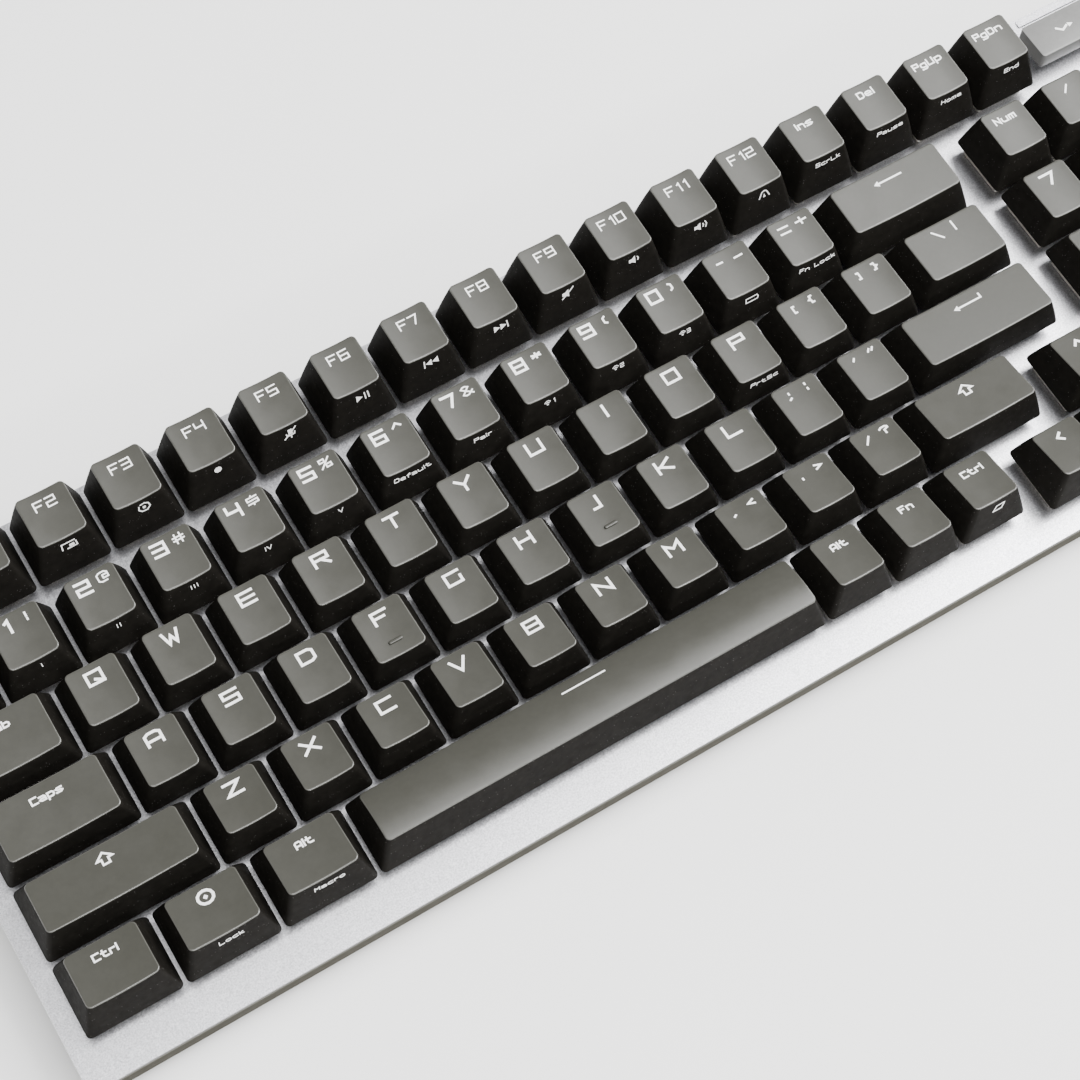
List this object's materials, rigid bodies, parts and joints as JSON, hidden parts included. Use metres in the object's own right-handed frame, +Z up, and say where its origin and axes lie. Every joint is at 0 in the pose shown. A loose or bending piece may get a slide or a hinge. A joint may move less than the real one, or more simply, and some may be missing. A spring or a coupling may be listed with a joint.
{
  "type": "mechanical keyboard",
  "caption": "Full-travel mechanical keyboard in a compact layout with number pad, aluminium plate, media hub and folding feet.",
  "frame": {"origin": "centre of the footprint at table height", "axes": "+X to the typist's right, +Y away from the typist, +Z up"},
  "size_m": [0.3792, 0.1292, 0.0387],
  "materials": {
    "keycap": "satin dark grey moulded plastic",
    "legend": "white moulded legend",
    "plate": "sand-blasted anodised, polished chamfer",
    "case": "fine moulded grain",
    "board": "dark lacquer",
    "housing": "clear smoky plastic",
    "foam": "foam",
    "cell_wrap": "foil wrap",
    "steel": "drawn and stamped",
    "rubber": "matte",
    "switch_knob": "satin",
    "hub": "satin black",
    "button_face": "satin grey",
    "roller": "ribbed, anodised"
  },
  "bodies": {
    "case_body": {"battery": "cell_wrap", "bottom_case": "case", "control_hub": "hub", "rubber_foot_front_left": "rubber", "rubber_foot_front_right": "rubber", "rubber_foot_rear_left": "rubber", "rubber_foot_rear_right": "rubber", "sound_pad": "foam", "switch_board": "board", "top_plate": "plate", "usb_c_socket": "steel"},
    "flip_foot_left": {"flip_foot_left": "case"},
    "flip_foot_right": {"flip_foot_right": "case"},
    "volume_roller": {"volume_roller": "roller"},
    "media_button": {"media_button": "button_face"},
    "mode_switch": {"mode_switch": "switch_knob"},
    "space_key": {"space_key": "keycap"},
    "enter_key": {"enter_key": "keycap"},
    "backspace_key": {"backspace_key": "keycap"},
    "left_shift_key": {"left_shift_key": "keycap"},
    "tab_key": {"tab_key": "keycap"},
    "caps_lock_key": {"caps_lock_key": "keycap"},
    "numpad_enter_key": {"numpad_enter_key": "keycap"},
    "numpad_plus_key": {"numpad_plus_key": "keycap"},
    "space_stabiliser_wire": {"space_stabiliser_wire": "steel"},
    "function_keys": {"function_keys": "keycap"},
    "number_keys": {"number_keys": "keycap"},
    "bracket_keys": {"bracket_keys": "keycap"},
    "quote_keys": {"quote_keys": "keycap"},
    "comma_keys": {"comma_keys": "keycap"},
    "left_modifier_keys": {"left_modifier_keys": "keycap"},
    "right_modifier_keys": {"right_modifier_keys": "keycap"},
    "arrow_keys": {"arrow_keys": "keycap"},
    "numpad_keys": {"numpad_keys": "keycap"},
    "key_q": {"key_q": "keycap"},
    "key_w": {"key_w": "keycap"},
    "key_e": {"key_e": "keycap"},
    "key_r": {"key_r": "keycap"},
    "key_t": {"key_t": "keycap"},
    "key_y": {"key_y": "keycap"},
    "key_u": {"key_u": "keycap"},
    "key_i": {"key_i": "keycap"},
    "key_o": {"key_o": "keycap"},
    "key_p": {"key_p": "keycap"},
    "key_a": {"key_a": "keycap"},
    "key_s": {"key_s": "keycap"},
    "key_d": {"key_d": "keycap"},
    "key_f": {"key_f": "keycap"},
    "key_g": {"key_g": "keycap"},
    "key_h": {"key_h": "keycap"},
    "key_j": {"key_j": "keycap"},
    "key_k": {"key_k": "keycap"},
    "key_l": {"key_l": "keycap"},
    "key_z": {"key_z": "keycap"},
    "key_x": {"key_x": "keycap"},
    "key_c": {"key_c": "keycap"},
    "key_v": {"key_v": "keycap"},
    "key_b": {"key_b": "keycap"},
    "key_n": {"key_n": "keycap"},
    "key_m": {"key_m": "keycap"}
  },
  "joints": [
    {"name": "flip_foot_left_fold", "type": "hinge", "parent": "case_body", "child": "flip_foot_left", "pos_m": [-0.15, 0.05, 0.0041], "axis": [1, 0, 0], "range_deg": [0, 95]},
    {"name": "flip_foot_right_fold", "type": "hinge", "parent": "case_body", "child": "flip_foot_right", "pos_m": [0.15, 0.05, 0.0041], "axis": [1, 0, 0], "range_deg": [0, 95]},
    {"name": "volume_roller_spin", "type": "hinge", "parent": "case_body", "child": "volume_roller", "pos_m": [0.17566, 0.05177, 0.02497], "axis": [1, 0, 0], "continuous": true},
    {"name": "media_button_press", "type": "slide", "parent": "case_body", "child": "media_button", "axis": [0, 0.0785, -0.9969], "range_m": [0, 0.001], "stiffness_N_per_m": 400, "springref_m": -0.0012},
    {"name": "mode_switch_slide", "type": "slide", "parent": "case_body", "child": "mode_switch", "axis": [1, 0, 0], "range_m": [-0.0025, 0.0025]},
    {"name": "space_key_press", "type": "slide", "parent": "case_body", "child": "space_key", "axis": [0, 0.0785, -0.9969], "range_m": [0, 0.004], "stiffness_N_per_m": 65, "springref_m": -0.0055},
    {"name": "enter_key_press", "type": "slide", "parent": "case_body", "child": "enter_key", "axis": [0, 0.0785, -0.9969], "range_m": [0, 0.004], "stiffness_N_per_m": 65, "springref_m": -0.0055},
    {"name": "backspace_key_press", "type": "slide", "parent": "case_body", "child": "backspace_key", "axis": [0, 0.0785, -0.9969], "range_m": [0, 0.004], "stiffness_N_per_m": 65, "springref_m": -0.0055},
    {"name": "left_shift_key_press", "type": "slide", "parent": "case_body", "child": "left_shift_key", "axis": [0, 0.0785, -0.9969], "range_m": [0, 0.004], "stiffness_N_per_m": 65, "springref_m": -0.0055},
    {"name": "tab_key_press", "type": "slide", "parent": "case_body", "child": "tab_key", "axis": [0, 0.0785, -0.9969], "range_m": [0, 0.004], "stiffness_N_per_m": 65, "springref_m": -0.0055},
    {"name": "caps_lock_key_press", "type": "slide", "parent": "case_body", "child": "caps_lock_key", "axis": [0, 0.0785, -0.9969], "range_m": [0, 0.004], "stiffness_N_per_m": 65, "springref_m": -0.0055},
    {"name": "numpad_enter_key_press", "type": "slide", "parent": "case_body", "child": "numpad_enter_key", "axis": [0, 0.0785, -0.9969], "range_m": [0, 0.004], "stiffness_N_per_m": 65, "springref_m": -0.0055},
    {"name": "numpad_plus_key_press", "type": "slide", "parent": "case_body", "child": "numpad_plus_key", "axis": [0, 0.0785, -0.9969], "range_m": [0, 0.004], "stiffness_N_per_m": 65, "springref_m": -0.0055},
    {"name": "space_wire_turn", "type": "hinge", "parent": "case_body", "child": "space_stabiliser_wire", "pos_m": [-0.05399, -0.05436, 0.00869], "axis": [-1, 0, 0], "range_deg": [0, 29.5]},
    {"name": "function_keys_press", "type": "slide", "parent": "case_body", "child": "function_keys", "axis": [0, 0.0785, -0.9969], "range_m": [0, 0.004], "stiffness_N_per_m": 1105, "springref_m": -0.0055},
    {"name": "number_keys_press", "type": "slide", "parent": "case_body", "child": "number_keys", "axis": [0, 0.0785, -0.9969], "range_m": [0, 0.004], "stiffness_N_per_m": 845, "springref_m": -0.0055},
    {"name": "bracket_keys_press", "type": "slide", "parent": "case_body", "child": "bracket_keys", "axis": [0, 0.0785, -0.9969], "range_m": [0, 0.004], "stiffness_N_per_m": 195, "springref_m": -0.0055},
    {"name": "quote_keys_press", "type": "slide", "parent": "case_body", "child": "quote_keys", "axis": [0, 0.0785, -0.9969], "range_m": [0, 0.004], "stiffness_N_per_m": 130, "springref_m": -0.0055},
    {"name": "comma_keys_press", "type": "slide", "parent": "case_body", "child": "comma_keys", "axis": [0, 0.0785, -0.9969], "range_m": [0, 0.004], "stiffness_N_per_m": 260, "springref_m": -0.0055},
    {"name": "left_modifier_keys_press", "type": "slide", "parent": "case_body", "child": "left_modifier_keys", "axis": [0, 0.0785, -0.9969], "range_m": [0, 0.004], "stiffness_N_per_m": 195, "springref_m": -0.0055},
    {"name": "right_modifier_keys_press", "type": "slide", "parent": "case_body", "child": "right_modifier_keys", "axis": [0, 0.0785, -0.9969], "range_m": [0, 0.004], "stiffness_N_per_m": 195, "springref_m": -0.0055},
    {"name": "arrow_keys_press", "type": "slide", "parent": "case_body", "child": "arrow_keys", "axis": [0, 0.0785, -0.9969], "range_m": [0, 0.004], "stiffness_N_per_m": 260, "springref_m": -0.0055},
    {"name": "numpad_keys_press", "type": "slide", "parent": "case_body", "child": "numpad_keys", "axis": [0, 0.0785, -0.9969], "range_m": [0, 0.004], "stiffness_N_per_m": 975, "springref_m": -0.0055},
    {"name": "key_q_press", "type": "slide", "parent": "case_body", "child": "key_q", "axis": [0, 0.0785, -0.9969], "range_m": [0, 0.004], "stiffness_N_per_m": 65, "springref_m": -0.0055},
    {"name": "key_w_press", "type": "slide", "parent": "case_body", "child": "key_w", "axis": [0, 0.0785, -0.9969], "range_m": [0, 0.004], "stiffness_N_per_m": 65, "springref_m": -0.0055},
    {"name": "key_e_press", "type": "slide", "parent": "case_body", "child": "key_e", "axis": [0, 0.0785, -0.9969], "range_m": [0, 0.004], "stiffness_N_per_m": 65, "springref_m": -0.0055},
    {"name": "key_r_press", "type": "slide", "parent": "case_body", "child": "key_r", "axis": [0, 0.0785, -0.9969], "range_m": [0, 0.004], "stiffness_N_per_m": 65, "springref_m": -0.0055},
    {"name": "key_t_press", "type": "slide", "parent": "case_body", "child": "key_t", "axis": [0, 0.0785, -0.9969], "range_m": [0, 0.004], "stiffness_N_per_m": 65, "springref_m": -0.0055},
    {"name": "key_y_press", "type": "slide", "parent": "case_body", "child": "key_y", "axis": [0, 0.0785, -0.9969], "range_m": [0, 0.004], "stiffness_N_per_m": 65, "springref_m": -0.0055},
    {"name": "key_u_press", "type": "slide", "parent": "case_body", "child": "key_u", "axis": [0, 0.0785, -0.9969], "range_m": [0, 0.004], "stiffness_N_per_m": 65, "springref_m": -0.0055},
    {"name": "key_i_press", "type": "slide", "parent": "case_body", "child": "key_i", "axis": [0, 0.0785, -0.9969], "range_m": [0, 0.004], "stiffness_N_per_m": 65, "springref_m": -0.0055},
    {"name": "key_o_press", "type": "slide", "parent": "case_body", "child": "key_o", "axis": [0, 0.0785, -0.9969], "range_m": [0, 0.004], "stiffness_N_per_m": 65, "springref_m": -0.0055},
    {"name": "key_p_press", "type": "slide", "parent": "case_body", "child": "key_p", "axis": [0, 0.0785, -0.9969], "range_m": [0, 0.004], "stiffness_N_per_m": 65, "springref_m": -0.0055},
    {"name": "key_a_press", "type": "slide", "parent": "case_body", "child": "key_a", "axis": [0, 0.0785, -0.9969], "range_m": [0, 0.004], "stiffness_N_per_m": 65, "springref_m": -0.0055},
    {"name": "key_s_press", "type": "slide", "parent": "case_body", "child": "key_s", "axis": [0, 0.0785, -0.9969], "range_m": [0, 0.004], "stiffness_N_per_m": 65, "springref_m": -0.0055},
    {"name": "key_d_press", "type": "slide", "parent": "case_body", "child": "key_d", "axis": [0, 0.0785, -0.9969], "range_m": [0, 0.004], "stiffness_N_per_m": 65, "springref_m": -0.0055},
    {"name": "key_f_press", "type": "slide", "parent": "case_body", "child": "key_f", "axis": [0, 0.0785, -0.9969], "range_m": [0, 0.004], "stiffness_N_per_m": 65, "springref_m": -0.0055},
    {"name": "key_g_press", "type": "slide", "parent": "case_body", "child": "key_g", "axis": [0, 0.0785, -0.9969], "range_m": [0, 0.004], "stiffness_N_per_m": 65, "springref_m": -0.0055},
    {"name": "key_h_press", "type": "slide", "parent": "case_body", "child": "key_h", "axis": [0, 0.0785, -0.9969], "range_m": [0, 0.004], "stiffness_N_per_m": 65, "springref_m": -0.0055},
    {"name": "key_j_press", "type": "slide", "parent": "case_body", "child": "key_j", "axis": [0, 0.0785, -0.9969], "range_m": [0, 0.004], "stiffness_N_per_m": 65, "springref_m": -0.0055},
    {"name": "key_k_press", "type": "slide", "parent": "case_body", "child": "key_k", "axis": [0, 0.0785, -0.9969], "range_m": [0, 0.004], "stiffness_N_per_m": 65, "springref_m": -0.0055},
    {"name": "key_l_press", "type": "slide", "parent": "case_body", "child": "key_l", "axis": [0, 0.0785, -0.9969], "range_m": [0, 0.004], "stiffness_N_per_m": 65, "springref_m": -0.0055},
    {"name": "key_z_press", "type": "slide", "parent": "case_body", "child": "key_z", "axis": [0, 0.0785, -0.9969], "range_m": [0, 0.004], "stiffness_N_per_m": 65, "springref_m": -0.0055},
    {"name": "key_x_press", "type": "slide", "parent": "case_body", "child": "key_x", "axis": [0, 0.0785, -0.9969], "range_m": [0, 0.004], "stiffness_N_per_m": 65, "springref_m": -0.0055},
    {"name": "key_c_press", "type": "slide", "parent": "case_body", "child": "key_c", "axis": [0, 0.0785, -0.9969], "range_m": [0, 0.004], "stiffness_N_per_m": 65, "springref_m": -0.0055},
    {"name": "key_v_press", "type": "slide", "parent": "case_body", "child": "key_v", "axis": [0, 0.0785, -0.9969], "range_m": [0, 0.004], "stiffness_N_per_m": 65, "springref_m": -0.0055},
    {"name": "key_b_press", "type": "slide", "parent": "case_body", "child": "key_b", "axis": [0, 0.0785, -0.9969], "range_m": [0, 0.004], "stiffness_N_per_m": 65, "springref_m": -0.0055},
    {"name": "key_n_press", "type": "slide", "parent": "case_body", "child": "key_n", "axis": [0, 0.0785, -0.9969], "range_m": [0, 0.004], "stiffness_N_per_m": 65, "springref_m": -0.0055},
    {"name": "key_m_press", "type": "slide", "parent": "case_body", "child": "key_m", "axis": [0, 0.0785, -0.9969], "range_m": [0, 0.004], "stiffness_N_per_m": 65, "springref_m": -0.0055}
  ],
  "couplings": [
    {"joint": "space_wire_turn", "follows": "space_key_press", "rad_per_m": 126.54}
  ]
}
